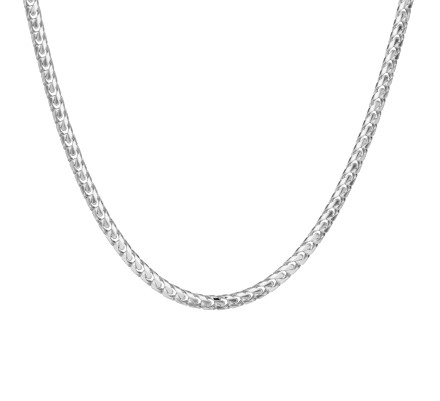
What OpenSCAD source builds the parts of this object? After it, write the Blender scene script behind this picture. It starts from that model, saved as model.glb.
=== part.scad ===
// Curb chain necklace, held as it hangs on a neck. Sizes in millimetres.
// The origin is on the nape, in the middle of the clasp's inner face. Z is up, and the hanging front
// lies in one upright plane that faces -Y.

/* [Chain] */
// Links in the whole loop
link_count = 119; // [109:2:119]
// From the middle of one link to the middle of the next
pitch = 4.58; // [4.5:0.01:4.6]
// From the middle of the last link to the middle of the first, across the clasp
clasp_span = 18.4; // [18:0.1:19]

/* [Link] */
// Width of a link across the chain
link_w = 6.4; // [6.3:0.05:6.5]
// Thickness of the wire
wire_d = 1.88; // [1.8:0.02:1.9]
// Clearance where the end of one link hooks round the next
hook_gap = 0.22; // [0.22:0.01:0.3]
// Turn of each end of a link out of the flat
end_twist = 53; // [52:1:55]
// How far the oval of a link is filled out towards a rectangle
fullness = 0.55; // [0.5:0.05:0.6]
// Thickness of the chain over its two cut faces
face_t = 2.66; // [2.6:0.02:2.76]
// Half distance between opposite cut edges
edge_half = 2.6; // [2.56:0.02:2.7]
// Lean of the cut edges from the side of the chain towards its face
edge_lean = 40; // [38:1:43]
// Half distance between the cut sides of a link
side_half = 2.88; // [2.84:0.01:2.95]
// Straight sides round the loop of a link
loop_sides = 12; // [10:2:12]
// Flat sides round the wire
wire_sides = 5; // [5:1:6]

/* [Drape] */
// Radius of the hanging curve at its lowest point
sag_r = 29.6; // [27:0.1:31]
// Half width of the loop where it leaves the hanging front for the neck
fall_half_w = 66; // [64:0.5:68]
// Rise from that place to the nape
nape_rise = 50; // [45:1:55]
// Roll of the faces that turns the inner edge of the hanging front forward
front_roll = 38; // [30:1:40]
// Part of that roll by which the two sides of the hanging front differ from its lowest point
roll_lean = 6; // [0:1:7]

/* [Clasp] */
// Thickness of the wire of the two eyes
eye_wire_d = 1.3; // [1.2:0.1:1.4]
// Half length of the flat body
clasp_body_half = 4.2; // [4:0.1:4.5]
// Height of the flat body at its widest
clasp_body_h = 6.4; // [6:0.1:7]
// Height of the open middle of the flat body at its round end
claw_hole_d = 2.6; // [2.2:0.1:3]

/* [Hidden] */

$fn = 64;

// A link is centred on its own origin, with x along the chain, y towards the neck and z out of the face
loop_l = pitch + wire_d + hook_gap;
loop_w = link_w - wire_d;
half_t = face_t / 2;
wire_r = wire_d / 2;
// Step over which the direction of a curve is taken, in millimetres along it or degrees round it
diff_step = 0.5;
half_count = (link_count - 1) / 2;

// Half length of the loop from the lowest link to the nape
loop_half = ((link_count - 1) * pitch + clasp_span) / 2;
// Straight half length behind the nape that the clasp takes up
back_straight = 5;
// Where the hanging front ends, as length of chain from the lowest point and as height above it
fall_len = sag_r * sinh_of(fall_half_w / sag_r);
fall_h = sag_r * (cosh_of(fall_half_w / sag_r) - 1);
fall_dir = [1 / cosh_of(fall_half_w / sag_r), 0, tanh_of(fall_half_w / sag_r)];
// Reach of the two handles that shape the way round the neck, in parts of its depth
front_handle = 0.75;
nape_handle = 0.75;
back_steps = 160;
// Upward tilt of the faces half way round, where the chain lies on the slope of the neck
neck_slope = 0.35;
// Limits between which the depth of the loop is sought, and how often they are halved
depth_low = 30;
depth_high = 200;
depth_rounds = 30;

// The wire of an eye runs round inside the end of a link, turned square to that link's end
eye_r = 2;
eye_gap = 0.2;
eye_reach = clasp_span / 2 - loop_l / 2 + wire_d / 2 + eye_gap + eye_wire_d / 2;

// Outline of the flat body: a large round end, a smaller nose, and an open middle that follows them
claw_r = clasp_body_h / 2;
claw_shift = clasp_body_half - claw_r;
// Nose and its end of the open middle, in parts of the round end and its end
nose_share = 0.62;
nose_hole_share = 0.8;
nose_r = claw_r * nose_share;
nose_x = clasp_body_half - nose_r;
nose_hole_d = claw_hole_d * nose_hole_share;
// Where the two ends of the open middle are centred along the body
hole_x = -1.3;
nose_hole_x = 0.4;

function sinh_of(v) = (exp(v) - exp(-v)) / 2;
function cosh_of(v) = (exp(v) + exp(-v)) / 2;
function tanh_of(v) = sinh_of(v) / cosh_of(v);
function asinh_of(v) = ln(v + sqrt(v * v + 1));
function unit(v) = v / norm(v);
function clamp(v, low, high) = max(low, min(high, v));
function smooth(h) = h * h * (3 - 2 * h);
function total(list, i = 0, sum = 0) = i == len(list) ? sum : total(list, i + 1, sum + list[i]);

// The way round the neck on the right-hand side, as a curve with two handles
function round_point(u, depth) =
    let (start = [fall_half_w, -depth, -nape_rise],
         start_handle = start + fall_dir * depth * front_handle,
         finish = [back_straight, 0, 0],
         finish_handle = finish + [depth * nape_handle, 0, 0])
    pow(1 - u, 3) * start + 3 * u * pow(1 - u, 2) * start_handle
    + 3 * u * u * (1 - u) * finish_handle + u * u * u * finish;

function round_steps(depth) =
    [for (i = [1 : back_steps])
        norm(round_point(i / back_steps, depth) - round_point((i - 1) / back_steps, depth))];

// Depth of the loop behind its front at which the links and the clasp just fill it
function solve_depth(low, high, rounds) =
    let (middle = (low + high) / 2)
    rounds == 0 ? middle
    : total(round_steps(middle)) > loop_half - back_straight - fall_len
        ? solve_depth(low, middle, rounds - 1)
        : solve_depth(middle, high, rounds - 1);

neck_depth = solve_depth(depth_low, depth_high, depth_rounds);
steps = round_steps(neck_depth);
// Length run along the way round, against the curve's own parameter
run_table = [for (i = 0, run = 0; i <= back_steps; run = run + (i < back_steps ? steps[i] : 0), i = i + 1)
    [run, i / back_steps]];

// Point of the chain's centreline at a length of chain from the lowest point, right-hand side positive
function drape_point(s) =
    let (a = abs(s),
         side = s < 0 ? -1 : 1,
         hang_h = sqrt(sag_r * sag_r + a * a) - sag_r,
         p = a <= fall_len
             ? [sag_r * asinh_of(a / sag_r), -neck_depth, hang_h - fall_h - nape_rise]
             : a <= loop_half - back_straight
                 ? round_point(lookup(a - fall_len, run_table), neck_depth)
                 : [loop_half - a, 0, 0])
    [side * p.x, p.y + half_t, p.z];

// Place of a link: its middle, then its x, y and z directions
function drape_frame(s) =
    let (along = unit(drape_point(s + diff_step) - drape_point(s - diff_step)),
         side = s < 0 ? -1 : 1,
         way = clamp((abs(s) - fall_len) / (loop_half - back_straight - fall_len), 0, 1),
         facing = [side * sin(180 * way), -cos(180 * way), neck_slope * sin(180 * way)],
         plain = unit(facing - along * (along * facing)),
         outward = cross(along, plain),
         roll = (front_roll + roll_lean * clamp(s / fall_len, -1, 1)) * (1 - smooth(way)),
         face = plain * cos(roll) + outward * sin(roll))
    [drape_point(s), along, cross(face, along), face];

// Centreline of a link: a full oval whose ends are turned out of the flat, one each way
function loop_point(t) =
    let (lean = end_twist * (cos(t) + sin(90 * cos(t))) / 2,
         reach = loop_w / 2 * sin(t) * (1 + fullness * pow(cos(t), 2)))
    [loop_l / 2 * cos(t), reach * cos(lean), reach * sin(lean)];

// Cuts of the edges, sides and faces, taken one after the other
function cut_edge(p, sy, sz) =
    let (dir = [0, sy * cos(edge_lean), sz * sin(edge_lean)],
         over = max(0, p * dir - edge_half))
    p - dir * over;
function cut_edges(p) = cut_edge(cut_edge(cut_edge(cut_edge(p, 1, 1), 1, -1), -1, 1), -1, -1);
function cut_sides(p) = [p.x, clamp(p.y, -side_half, side_half), clamp(p.z, -half_t, half_t)];

function wire_ring(t) =
    let (middle = loop_point(t),
         along = unit(loop_point(t + diff_step) - loop_point(t - diff_step)),
         outward = unit(middle - along * (along * middle)),
         across = cross(along, outward))
    [for (j = [0 : wire_sides - 1])
        let (turn = 360 * (j + 0.5) / wire_sides)
        cut_sides(cut_edges(middle + (outward * cos(turn) + across * sin(turn)) * wire_r))];

link_shape = [for (i = [0 : loop_sides - 1]) each wire_ring(360 * i / loop_sides)];

function corner(i, j) = (i % loop_sides) * wire_sides + j % wire_sides;
link_faces = [for (i = [0 : loop_sides - 1], j = [0 : wire_sides - 1], half = [0, 1])
    half == 0 ? [corner(i, j), corner(i + 1, j + 1), corner(i, j + 1)]
              : [corner(i, j), corner(i + 1, j), corner(i + 1, j + 1)]];

function place(shape, spot) =
    [for (p = shape) spot[0] + spot[1] * p.x + spot[2] * p.y + spot[3] * p.z];

// A stretch of interlocked links, counted from the lowest one
module links(first, last) {
    corners = len(link_shape);
    polyhedron(
        points = [for (k = [first : last]) each place(link_shape, drape_frame(k * pitch))],
        faces = [for (k = [0 : last - first], f = link_faces) f + [1, 1, 1] * k * corners]);
}

module chain_left() {
    color("silver") links(-half_count, -1);
}

module chain_right() {
    color("silver") links(0, half_count);
}

module eye(side) {
    translate([side * (eye_reach - eye_r), half_t, 0])
        rotate([-side * end_twist, 0, 0])
            rotate_extrude()
                translate([eye_r, 0])
                    circle(d = eye_wire_d);
}

// Flat body in the outline of a closed claw, with its open middle
module claw_outline() {
    difference() {
        union() {
            translate([-claw_shift, 0])
                circle(r = claw_r);
            translate([nose_x, 0])
                circle(r = nose_r);
            translate([-claw_shift, -nose_r])
                square([nose_x + claw_shift, 2 * nose_r]);
        }
        translate([hole_x, 0])
            circle(d = claw_hole_d);
        translate([nose_hole_x, 0])
            circle(d = nose_hole_d);
        translate([hole_x, -nose_hole_d / 2])
            square([nose_hole_x - hole_x, nose_hole_d]);
    }
}

module clasp() {
    color("silver") {
        translate([0, face_t, 0])
            rotate([90, 0, 0])
                linear_extrude(face_t)
                    claw_outline();
        eye(1);
        eye(-1);
    }
}

chain_left();
chain_right();
clasp();
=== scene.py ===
"""Curb chain necklace as it hangs on a neck: polished bright-cut links, a plain clasp, and its studio."""
import math

import bmesh
import bpy
from mathutils import Matrix, Vector


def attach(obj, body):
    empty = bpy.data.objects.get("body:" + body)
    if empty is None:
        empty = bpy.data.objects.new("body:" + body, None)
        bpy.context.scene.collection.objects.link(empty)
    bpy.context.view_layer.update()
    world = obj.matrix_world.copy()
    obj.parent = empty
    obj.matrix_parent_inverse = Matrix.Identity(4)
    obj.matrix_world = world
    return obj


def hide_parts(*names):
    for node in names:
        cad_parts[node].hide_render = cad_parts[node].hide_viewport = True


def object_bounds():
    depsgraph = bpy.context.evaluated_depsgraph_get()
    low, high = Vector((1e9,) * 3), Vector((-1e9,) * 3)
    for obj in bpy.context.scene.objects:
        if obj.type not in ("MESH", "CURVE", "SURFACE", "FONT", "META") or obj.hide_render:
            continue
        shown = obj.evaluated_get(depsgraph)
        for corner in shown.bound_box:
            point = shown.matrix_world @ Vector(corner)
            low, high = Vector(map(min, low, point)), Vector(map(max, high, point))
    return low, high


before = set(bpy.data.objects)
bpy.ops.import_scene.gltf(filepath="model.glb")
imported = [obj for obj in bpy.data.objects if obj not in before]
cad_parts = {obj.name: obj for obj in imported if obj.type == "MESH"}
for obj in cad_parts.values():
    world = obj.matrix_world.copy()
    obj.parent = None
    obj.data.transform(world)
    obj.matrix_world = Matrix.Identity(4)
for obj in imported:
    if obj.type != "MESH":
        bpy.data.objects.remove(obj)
cad_low, cad_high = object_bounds()

# Lengths are in metres
MM = 0.001

# Chain, with the same driving sizes as the part's source
LINK_COUNT = 119
HALF_COUNT = (LINK_COUNT - 1) // 2
PITCH = 4.58 * MM
CLASP_SPAN = 18.4 * MM
FACE_T = 2.66 * MM
HALF_T = FACE_T / 2

# Drape, with the same driving sizes as the part's source
SAG_R = 29.6 * MM
FALL_HALF_W = 66 * MM
NAPE_RISE = 50 * MM
# Roll of the faces at the lowest point, and how far the two sides of the hanging front differ from it
FRONT_ROLL = math.radians(38)
ROLL_LEAN = math.radians(6)
# Way round the neck: straight end behind the nape, reach of its two handles, and upward tilt of the faces
BACK_STRAIGHT = 5 * MM
FRONT_HANDLE = 0.75
NAPE_HANDLE = 0.75
NECK_SLOPE = 0.35
# Steps of that way, and the limits between which its depth is sought and how often they are halved
BACK_STEPS = 400
DEPTH_RANGE = (30 * MM, 200 * MM)
DEPTH_ROUNDS = 40
# Step over which the direction of the chain is taken
DIFF_STEP = 0.05 * MM

# Link, of round wire
WIRE_D = 1.88 * MM
LINK_W = 6.4 * MM
HOOK_GAP = 0.16 * MM
END_TWIST = math.radians(53)
FULLNESS = 0.55
LOOP_SIDES = 60
WIRE_SIDES = 27
# Step round the link, in radians, over which the direction of its wire is taken
TURN_STEP = 1e-3
# Distance of the cut faces, sides and edges from the middle of the link, and the lean of the edges
CUT_FACE = 1.4 * MM
CUT_SIDE = 2.85 * MM
CUT_EDGE = 2.5 * MM
EDGE_LEAN = math.radians(40)
# Share of the wire beyond a cut that is taken away, so that the cuts stay a little domed
CUT_SHARE = 0.97
# How far a link turns from its place on the curve, and how that turn about each axis runs along the chain
SETTLE = math.radians(1.6)
SETTLE_PACES = (("X", 4.5), ("Y", 4.1), ("Z", 1.7))

# Photograph: its size, its scale, and where the lowest point of the chain and its upright axis lie in it
PHOTO_W = 440
PHOTO_H = 401
PIXEL = 0.345 * MM
LOWEST_PX = (212.93, 302.55)
LEAN = math.radians(0.926)


# Drape of the chain

FALL_LEN = SAG_R * math.sinh(FALL_HALF_W / SAG_R)
FALL_H = SAG_R * (math.cosh(FALL_HALF_W / SAG_R) - 1)
FALL_DIR = Vector((1 / math.cosh(FALL_HALF_W / SAG_R), 0, math.tanh(FALL_HALF_W / SAG_R)))
LOOP_HALF = ((LINK_COUNT - 1) * PITCH + CLASP_SPAN) / 2


def round_point(u, depth):
    """Point of the way round the neck on the right-hand side, a curve with two handles."""
    start = Vector((FALL_HALF_W, -depth, -NAPE_RISE))
    start_handle = start + FALL_DIR * depth * FRONT_HANDLE
    finish = Vector((BACK_STRAIGHT, 0, 0))
    finish_handle = finish + Vector((depth * NAPE_HANDLE, 0, 0))
    v = 1 - u
    return v ** 3 * start + 3 * u * v * v * start_handle + 3 * u * u * v * finish_handle + u ** 3 * finish


def round_runs(depth):
    """Length run along the way round at each step of its parameter."""
    points = [round_point(i / BACK_STEPS, depth) for i in range(BACK_STEPS + 1)]
    runs = [0.0]
    for before, after in zip(points, points[1:]):
        runs.append(runs[-1] + (after - before).length)
    return runs


def solve_depth():
    """Depth of the loop behind its front at which the links and the clasp just fill it."""
    low, high = DEPTH_RANGE
    for _ in range(DEPTH_ROUNDS):
        middle = (low + high) / 2
        if round_runs(middle)[-1] > LOOP_HALF - BACK_STRAIGHT - FALL_LEN:
            high = middle
        else:
            low = middle
    return (low + high) / 2


NECK_DEPTH = solve_depth()
RUNS = round_runs(NECK_DEPTH)


def round_parameter(run):
    """Parameter of the way round at a length run along it."""
    for i in range(BACK_STEPS):
        if RUNS[i + 1] >= run:
            return (i + (run - RUNS[i]) / (RUNS[i + 1] - RUNS[i])) / BACK_STEPS
    return 1.0


def drape_point(s):
    """Point of the centreline at a length of chain from the lowest point, right-hand side positive."""
    a = abs(s)
    side = -1 if s < 0 else 1
    if a <= FALL_LEN:
        hang_h = math.hypot(SAG_R, a) - SAG_R
        p = Vector((SAG_R * math.asinh(a / SAG_R), -NECK_DEPTH, hang_h - FALL_H - NAPE_RISE))
    elif a <= LOOP_HALF - BACK_STRAIGHT:
        p = round_point(round_parameter(a - FALL_LEN), NECK_DEPTH)
    else:
        p = Vector((LOOP_HALF - a, 0, 0))
    return Vector((side * p.x, p.y + HALF_T, p.z))


def link_matrix(k):
    """Place of a link, counted from the lowest one.

    Its x runs along the chain, its y towards the neck and its z out of its face.
    """
    s = k * PITCH
    along = (drape_point(s + DIFF_STEP) - drape_point(s - DIFF_STEP)).normalized()
    side = -1 if s < 0 else 1
    way = (abs(s) - FALL_LEN) / (LOOP_HALF - BACK_STRAIGHT - FALL_LEN)
    way = min(max(way, 0), 1)
    turn = math.pi * way
    facing = Vector((side * math.sin(turn), -math.cos(turn), NECK_SLOPE * math.sin(turn)))
    plain = (facing - along * along.dot(facing)).normalized()
    outward = along.cross(plain)
    roll = (FRONT_ROLL + ROLL_LEAN * min(max(s / FALL_LEN, -1), 1)) * (1 - way * way * (3 - 2 * way))
    face = plain * math.cos(roll) + outward * math.sin(roll)
    inner = face.cross(along)
    place = Matrix((along, inner, face)).transposed().to_4x4()
    place.translation = drape_point(s)
    return place


# Links

LOOP_L = PITCH + WIRE_D + HOOK_GAP
LOOP_W = LINK_W - WIRE_D

# The cuts of a link in the order in which they are made, each as the way it faces and its distance
CUTS = [
    (Vector((0, sy * math.cos(EDGE_LEAN), sz * math.sin(EDGE_LEAN))), CUT_EDGE)
    for sy in (1, -1)
    for sz in (1, -1)
]
CUTS += [(Vector((0, sy, 0)), CUT_SIDE) for sy in (1, -1)]
CUTS += [(Vector((0, 0, sz)), CUT_FACE) for sz in (1, -1)]


def loop_point(t):
    """Centreline of a link: a full oval whose ends are turned out of the flat, one each way."""
    c = math.cos(t)
    lean = END_TWIST * (c + math.sin(math.pi / 2 * c)) / 2
    reach = LOOP_W / 2 * math.sin(t) * (1 + FULLNESS * c * c)
    return Vector((LOOP_L / 2 * c, reach * math.cos(lean), reach * math.sin(lean)))


def cut_down(point):
    """Point of the wire's skin brought down to the cuts, and whether it lay beyond one of them."""
    cut = False
    for normal, distance in CUTS:
        over = point.dot(normal) - distance
        if over > 0:
            point = point - normal * over * CUT_SHARE
            cut = True
    return point, cut


def wire_ring(t):
    """Points round the wire at one place of the link, each with whether it is on a cut."""
    middle = loop_point(t)
    along = (loop_point(t + TURN_STEP) - loop_point(t - TURN_STEP)).normalized()
    outward = (middle - along * along.dot(middle)).normalized()
    across = along.cross(outward)
    ring = []
    for j in range(WIRE_SIDES):
        turn = 2 * math.pi * j / WIRE_SIDES
        skin = middle + (outward * math.cos(turn) + across * math.sin(turn)) * WIRE_D / 2
        ring.append(cut_down(skin))
    return ring


def link_mesh():
    """One finished link: a closed loop of round wire, whose second material is on its cuts."""
    bm = bmesh.new()
    rings = []
    for i in range(LOOP_SIDES):
        ring = wire_ring(2 * math.pi * i / LOOP_SIDES)
        rings.append([(bm.verts.new(point), cut) for point, cut in ring])
    for ring, following in zip(rings, rings[1:] + rings[:1]):
        for j in range(WIRE_SIDES):
            k = (j + 1) % WIRE_SIDES
            corners = (ring[j], following[j], following[k], ring[k])
            face = bm.faces.new([corner[0] for corner in corners])
            face.smooth = True
            face.material_index = int(all(corner[1] for corner in corners))
    bm.normal_update()
    mesh = bpy.data.meshes.new("link")
    bm.to_mesh(mesh)
    bm.free()
    return mesh


def settled(k):
    """Small turn of a link that has settled on its neighbours in its own way."""
    turn = Matrix.Identity(4)
    for axis, pace in SETTLE_PACES:
        turn = turn @ Matrix.Rotation(SETTLE * math.sin(pace * k), 4, axis)
    return turn


def chain_piece(name, node, first, last, link, materials):
    """A stretch of interlocked links in one mesh, in place of a node of the frame."""
    bm = bmesh.new()
    for k in range(first, last + 1):
        count = len(bm.verts)
        bm.from_mesh(link)
        bm.verts.ensure_lookup_table()
        bmesh.ops.transform(bm, matrix=link_matrix(k) @ settled(k), verts=bm.verts[count:])
    mesh = bpy.data.meshes.new(name)
    bm.to_mesh(mesh)
    bm.free()
    for material in materials:
        mesh.materials.append(material)
    piece = bpy.data.objects.new(name, mesh)
    bpy.context.scene.collection.objects.link(piece)
    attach(piece, "root")
    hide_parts(node)


# Clasp, with the same driving sizes as the part's source and rounded edges

EYE_WIRE_D = 1.3 * MM
EYE_R = 2 * MM
EYE_GAP = 0.2 * MM
# Clearance where the links of the part's source hook, from which the reach of the eyes is worked out
CAD_HOOK_GAP = 0.22 * MM
EYE_REACH = CLASP_SPAN / 2 - (PITCH + WIRE_D + CAD_HOOK_GAP) / 2 + WIRE_D / 2 + EYE_GAP + EYE_WIRE_D / 2
BODY_HALF = 4.2 * MM
BODY_H = 6.4 * MM
HOLE_R = 1.3 * MM
# Nose and its end of the open middle, in parts of the round end and its end
NOSE_SHARE = 0.62
NOSE_HOLE_SHARE = 0.8
CLAW_R = BODY_H / 2
CLAW_X = CLAW_R - BODY_HALF
NOSE_R = CLAW_R * NOSE_SHARE
NOSE_X = BODY_HALF - NOSE_R
NOSE_HOLE_R = HOLE_R * NOSE_HOLE_SHARE
# Where the two ends of the open middle are centred along the body
HOLE_X = -1.3 * MM
NOSE_HOLE_X = 0.4 * MM
BODY_ROUND = 0.9 * MM
HOLE_ROUND = 0.3 * MM
ROUND_STEPS = 8
CLAW_STEPS = 64
NOSE_STEPS = 32
EYE_STEPS = 64
EYE_SIDES = 20


def claw_loop(x, r, nose_x, nose_r, y):
    """Closed outline at one depth: a round end and a smaller nose, joined by two straight sides."""
    start = math.asin(min(1, nose_r / r))
    points = []
    for i in range(CLAW_STEPS + 1):
        turn = start + (2 * math.pi - 2 * start) * i / CLAW_STEPS
        points.append(Vector((x + r * math.cos(turn), y, r * math.sin(turn))))
    for i in range(NOSE_STEPS + 1):
        turn = -math.pi / 2 + math.pi * i / NOSE_STEPS
        points.append(Vector((nose_x + nose_r * math.cos(turn), y, nose_r * math.sin(turn))))
    return points


def rounded_loops(x, r, nose_x, nose_r, rounding):
    """Outlines down a rounded edge, from the inner face on. A negative rounding widens them at that face."""
    loops = []
    for i in range(ROUND_STEPS + 1):
        turn = math.pi / 2 * i / ROUND_STEPS
        inset = rounding * (1 - math.sin(turn))
        y = abs(rounding) * (1 - math.cos(turn))
        loops.append(claw_loop(x, r - inset, nose_x, nose_r - inset, y))
    return loops


def other_face(loops):
    """The same outlines at the other face of the body."""
    return [[Vector((p.x, FACE_T - p.y, p.z)) for p in loop] for loop in loops]


def body_loops():
    """Outlines of the flat body, one after the other round its section."""
    rim = rounded_loops(CLAW_X, CLAW_R, NOSE_X, NOSE_R, BODY_ROUND)
    hole = rounded_loops(HOLE_X, HOLE_R, NOSE_HOLE_X, NOSE_HOLE_R, -HOLE_ROUND)
    return rim + other_face(rim[::-1]) + other_face(hole) + hole[::-1]


def eye_rings(side):
    """Rings of the wire of one eye, which holds the end of the chain on that side."""
    place = Matrix.Translation((side * (EYE_REACH - EYE_R), HALF_T, 0))
    place = place @ Matrix.Rotation(-side * END_TWIST, 4, "X")
    rings = []
    for i in range(EYE_STEPS):
        turn = 2 * math.pi * i / EYE_STEPS
        ring = []
        for j in range(EYE_SIDES):
            section = 2 * math.pi * j / EYE_SIDES
            reach = EYE_R + EYE_WIRE_D / 2 * math.cos(section)
            height = EYE_WIRE_D / 2 * math.sin(section)
            ring.append(place @ Vector((reach * math.cos(turn), reach * math.sin(turn), height)))
        rings.append(ring)
    return rings


def add_rings(bm, rings):
    """Closed skin over rings of points, the last joined to the first."""
    rows = [[bm.verts.new(p) for p in ring] for ring in rings]
    for row, following in zip(rows, rows[1:] + rows[:1]):
        for j in range(len(row)):
            k = (j + 1) % len(row)
            bm.faces.new((row[j], row[k], following[k], following[j])).smooth = True


def solid_object(name, rings):
    """Object with one closed solid over rings of points, its faces turned outwards."""
    bm = bmesh.new()
    add_rings(bm, rings)
    bmesh.ops.recalc_face_normals(bm, faces=bm.faces[:])
    mesh = bpy.data.meshes.new(name)
    bm.to_mesh(mesh)
    bm.free()
    made = bpy.data.objects.new(name, mesh)
    bpy.context.scene.collection.objects.link(made)
    return made


def clasp_piece(material):
    """The clasp: a rounded flat body in the outline of a closed claw, fused with an eye at each end."""
    piece = solid_object("clasp_body", body_loops())
    for side in (1, -1):
        eye = solid_object("eye", eye_rings(side))
        fuse = piece.modifiers.new("fuse", "BOOLEAN")
        fuse.operation = "UNION"
        fuse.solver = "EXACT"
        fuse.object = eye
        evaluated = piece.evaluated_get(bpy.context.evaluated_depsgraph_get())
        fused = bpy.data.meshes.new_from_object(evaluated)
        piece.modifiers.clear()
        piece.data = fused
        bpy.data.objects.remove(eye)
    piece.data.materials.clear()
    piece.data.materials.append(material)
    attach(piece, "root")
    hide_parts("clasp")


# Materials

SILVER = (0.928, 0.928, 0.934, 1)
# Handled areas: how many to a metre, their detail, and the noise levels at which they start and are full
WEAR_SCALE = 700
WEAR_DETAIL = 4
WEAR_START = 0.35
WEAR_FULL = 0.65
# Detail and height of the relief that polishing leaves
RELIEF_DETAIL = 3
RELIEF_H = 0.01 * MM


def silver(name, roughness, wear, grain, relief):
    """Polished silver: a roughness that grows on handled areas, and fine relief left by polishing."""
    material = bpy.data.materials.new(name)
    material.use_nodes = True
    nodes, links = material.node_tree.nodes, material.node_tree.links
    shader = nodes["Principled BSDF"]
    shader.inputs["Base Color"].default_value = SILVER
    shader.inputs["Metallic"].default_value = 1
    place = nodes.new("ShaderNodeTexCoord")
    handled = nodes.new("ShaderNodeTexNoise")
    handled.inputs["Scale"].default_value = WEAR_SCALE
    handled.inputs["Detail"].default_value = WEAR_DETAIL
    links.new(place.outputs["Object"], handled.inputs["Vector"])
    spread = nodes.new("ShaderNodeMapRange")
    spread.inputs["From Min"].default_value = WEAR_START
    spread.inputs["From Max"].default_value = WEAR_FULL
    spread.inputs["To Min"].default_value = roughness
    spread.inputs["To Max"].default_value = roughness + wear
    links.new(handled.outputs["Fac"], spread.inputs["Value"])
    links.new(spread.outputs["Result"], shader.inputs["Roughness"])
    polishing = nodes.new("ShaderNodeTexNoise")
    polishing.inputs["Scale"].default_value = grain
    polishing.inputs["Detail"].default_value = RELIEF_DETAIL
    links.new(place.outputs["Object"], polishing.inputs["Vector"])
    bump = nodes.new("ShaderNodeBump")
    bump.inputs["Strength"].default_value = relief
    bump.inputs["Distance"].default_value = RELIEF_H
    links.new(polishing.outputs["Fac"], bump.inputs["Height"])
    links.new(bump.outputs["Normal"], shader.inputs["Normal"])
    return material


# Studio

WHITE = (1, 1, 1, 1)
SKY_STRENGTH = 1.1

FLOOR_DROP = 0.45
FLOOR_SIZE = 60
FLOOR_COLOUR = (0.96, 0.96, 0.96, 1)
FLOOR_ROUGHNESS = 0.9

CAMERA_DISTANCE = 2.0
SENSOR_MM = 36
CLIP_END = 100

TENT_R = 0.5
TENT_SEGMENTS = 48
TENT_RINGS = 24
# What the polished links reflect. Angles are in degrees, as seen from the chain: azimuth 0 is at the
# camera, and 90 is to the viewer's right. A place reaches that far from its middle, but no further to its
# sides than its half width, where 180 sets no limit. It covers what stands before it in the list.
# (name, azimuth, elevation, reach, half width, soft edge, level)
TENT = (
    ("dark ring behind", 0, 0, 142, 180, 8, 0.03),
    ("front half", 0, 0, 97, 180, 14, 0.78),
    ("softbox over the camera", 0, 24, 40, 180, 8, 1),
    ("window on the right", 112, 18, 14, 180, 6, 0.6),
    ("dark card on the left", -90, 18, 17, 180, 6, 0.07),
    ("grey card low on the left", -68, -20, 16, 180, 6, 0.6),
    ("strip on that card", -63.5, -19, 14.5, 3.4, 3, 0.2),
    ("grey card low on the right", 80, -20, 19, 180, 6, 0.62),
    ("strip on that card", 75, -19, 16, 3.6, 3, 0.11),
    ("spot beside that strip", 82, -8.5, 3.2, 180, 3, 0.06),
    ("dark card on the right", 86, 26, 19, 180, 4, 0.02),
    ("floor card", 0, -65, 26, 180, 14, 0.72),
    ("dark spot left on it", -28, -70, 8, 180, 4, 0.3),
    ("dark spot in its middle", 14, -68, 7, 180, 3, 0.15),
    ("dark spot right on it", 44, -60, 9, 180, 4, 0.15),
    ("dark card high on the left", -50, 55, 14, 180, 4, 0.06),
    ("dark card high on the right", 50, 60, 14, 180, 4, 0.03),
)
# Level of the tent where no place covers it, at its back
TENT_BACK = 0.72

# Width and height of the small black flag, and its place from the middle of the lowest link
FLAG_W = 4.2 * MM
FLAG_H = 11 * MM
FLAG_AWAY = (1.3 * MM, -10.5 * MM, 3 * MM)
FLAG_COLOUR = (0.002, 0.002, 0.002, 1)


def matt(name, colour):
    """Material of one colour without a sheen, and its shader."""
    material = bpy.data.materials.new(name)
    material.use_nodes = True
    shader = material.node_tree.nodes["Principled BSDF"]
    shader.inputs["Base Color"].default_value = colour
    shader.inputs["Specular IOR Level"].default_value = 0
    return material, shader


def make_floor():
    """Plain pale floor below the hanging chain."""
    bpy.ops.mesh.primitive_plane_add(size=FLOOR_SIZE, location=(0, 0, cad_low.z - FLOOR_DROP))
    floor = bpy.context.object
    floor.name = "floor"
    material, shader = matt("floor_white", FLOOR_COLOUR)
    shader.inputs["Roughness"].default_value = FLOOR_ROUGHNESS
    floor.data.materials.append(material)


def make_flag():
    """Small black flag close before the lowest link, which shows as the one black bevel of the chain."""
    place = drape_point(0) + Vector(FLAG_AWAY)
    bpy.ops.mesh.primitive_plane_add(size=1, location=place, rotation=(math.pi / 2, 0, 0))
    flag = bpy.context.object
    flag.name = "reflected_flag"
    flag.scale = (FLAG_W, FLAG_H, 1)
    flag.visible_camera = False
    flag.visible_diffuse = False
    flag.visible_shadow = False
    material, _ = matt("flag", FLAG_COLOUR)
    flag.data.materials.append(material)


def tent_direction(azimuth, elevation):
    """Direction as seen from the chain: azimuth 0 is at the camera, and 90 is to the viewer's right."""
    a = math.radians(azimuth)
    e = math.radians(elevation)
    return (math.sin(a) * math.cos(e), -math.cos(a) * math.cos(e), math.sin(e))


def along_direction(nodes, links, aim, direction):
    """Share of the way looked at that lies along a direction."""
    dot = nodes.new("ShaderNodeVectorMath")
    dot.operation = "DOT_PRODUCT"
    dot.inputs[1].default_value = direction
    links.new(aim, dot.inputs[0])
    return dot.outputs["Value"]


def soft_step(nodes, links, value, outside, inside):
    """Factor that runs softly from 0 to 1 while a value runs from one limit to the other."""
    step = nodes.new("ShaderNodeMapRange")
    step.interpolation_type = "SMOOTHSTEP"
    step.inputs["From Min"].default_value = outside
    step.inputs["From Max"].default_value = inside
    links.new(value, step.inputs["Value"])
    return step.outputs["Result"]


def within_reach(nodes, links, aim, azimuth, elevation, reach, soft):
    """Factor that is 1 within reach of the middle of a place, and 0 outside."""
    toward = along_direction(nodes, links, aim, tent_direction(azimuth, elevation))
    near = math.radians(reach - soft / 2)
    far = math.radians(reach + soft / 2)
    return soft_step(nodes, links, toward, math.cos(far), math.cos(near))


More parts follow.
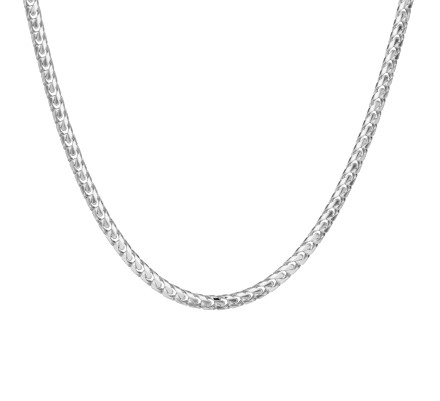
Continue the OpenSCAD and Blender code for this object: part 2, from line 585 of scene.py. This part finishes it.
def within_width(nodes, links, aim, azimuth, half_w, soft):
    """Factor that is 1 within half a width to either side of an azimuth, and 0 outside."""
    aside = along_direction(nodes, links, aim, tent_direction(azimuth + 90, 0))
    distance = nodes.new("ShaderNodeMath")
    distance.operation = "ABSOLUTE"
    links.new(aside, distance.inputs[0])
    near = math.radians(half_w - soft / 2)
    far = math.radians(half_w + soft / 2)
    return soft_step(nodes, links, distance.outputs["Value"], math.sin(far), math.sin(near))


def tent_material():
    """Glow of the tent, whose level is mixed place by place from the direction."""
    material = bpy.data.materials.new("tent")
    material.use_nodes = True
    nodes, links = material.node_tree.nodes, material.node_tree.links
    nodes.clear()
    position = nodes.new("ShaderNodeTexCoord")
    normalize = nodes.new("ShaderNodeVectorMath")
    normalize.operation = "NORMALIZE"
    links.new(position.outputs["Object"], normalize.inputs[0])
    aim = normalize.outputs["Vector"]
    level = None
    for name, azimuth, elevation, reach, half_w, soft, glow in TENT:
        inside = within_reach(nodes, links, aim, azimuth, elevation, reach, soft)
        if half_w < reach:
            both = nodes.new("ShaderNodeMath")
            both.operation = "MULTIPLY"
            links.new(inside, both.inputs[0])
            links.new(within_width(nodes, links, aim, azimuth, half_w, soft), both.inputs[1])
            inside = both.outputs["Value"]
        mix = nodes.new("ShaderNodeMix")
        mix.label = name
        links.new(inside, mix.inputs["Factor"])
        if level is None:
            mix.inputs["A"].default_value = TENT_BACK
        else:
            links.new(level, mix.inputs["A"])
        mix.inputs["B"].default_value = glow
        level = mix.outputs["Result"]
    light = nodes.new("ShaderNodeEmission")
    links.new(level, light.inputs["Strength"])
    output = nodes.new("ShaderNodeOutputMaterial")
    links.new(light.outputs["Emission"], output.inputs["Surface"])
    return material


def make_tent():
    """Light tent round the chain, with its lighter and darker places, which only the chain reflects."""
    middle = (cad_low + cad_high) / 2
    bpy.ops.mesh.primitive_uv_sphere_add(
        segments=TENT_SEGMENTS, ring_count=TENT_RINGS, radius=TENT_R, location=middle
    )
    tent = bpy.context.object
    tent.name = "reflected_tent"
    tent.visible_camera = False
    tent.visible_diffuse = False
    tent.visible_shadow = False
    tent.visible_transmission = False
    tent.data.materials.append(tent_material())


def make_world():
    """Even white surroundings."""
    world = bpy.data.worlds.new("studio")
    bpy.context.scene.world = world
    world.use_nodes = True
    background = world.node_tree.nodes["Background"]
    background.inputs["Color"].default_value = WHITE
    background.inputs["Strength"].default_value = SKY_STRENGTH
    bpy.context.scene.view_settings.view_transform = "Standard"


def make_camera():
    """Level camera square to the hanging front, which leans a little in the frame."""
    across = PHOTO_W / 2 - LOWEST_PX[0]
    up = LOWEST_PX[1] - PHOTO_H / 2
    x = (across * math.cos(LEAN) - up * math.sin(LEAN)) * PIXEL
    z = (across * math.sin(LEAN) + up * math.cos(LEAN)) * PIXEL
    lowest = drape_point(0)
    data = bpy.data.cameras.new("camera")
    data.sensor_width = SENSOR_MM
    data.lens = SENSOR_MM * CAMERA_DISTANCE / (PHOTO_W * PIXEL)
    data.clip_end = CLIP_END
    camera = bpy.data.objects.new("camera", data)
    bpy.context.scene.collection.objects.link(camera)
    right = Vector((math.cos(LEAN), 0, math.sin(LEAN)))
    above = Vector((-math.sin(LEAN), 0, math.cos(LEAN)))
    back = right.cross(above)
    place = Matrix((right, above, back)).transposed().to_4x4()
    place.translation = Vector((x, lowest.y - CAMERA_DISTANCE, lowest.z + z))
    camera.matrix_world = place
    bpy.context.scene.camera = camera


make_camera()
make_world()
make_floor()
make_tent()
make_flag()

wire = silver("silver_wire", roughness=0.10, wear=0.10, grain=9000, relief=0.25)
facet = silver("silver_facet", roughness=0.05, wear=0.06, grain=14000, relief=0.12)
body = silver("silver_clasp", roughness=0.12, wear=0.10, grain=6000, relief=0.25)
one_link = link_mesh()
chain_piece("chain_left_links", "chain_left", -HALF_COUNT, -1, one_link, (wire, facet))
chain_piece("chain_right_links", "chain_right", 0, HALF_COUNT, one_link, (wire, facet))
clasp_piece(body)
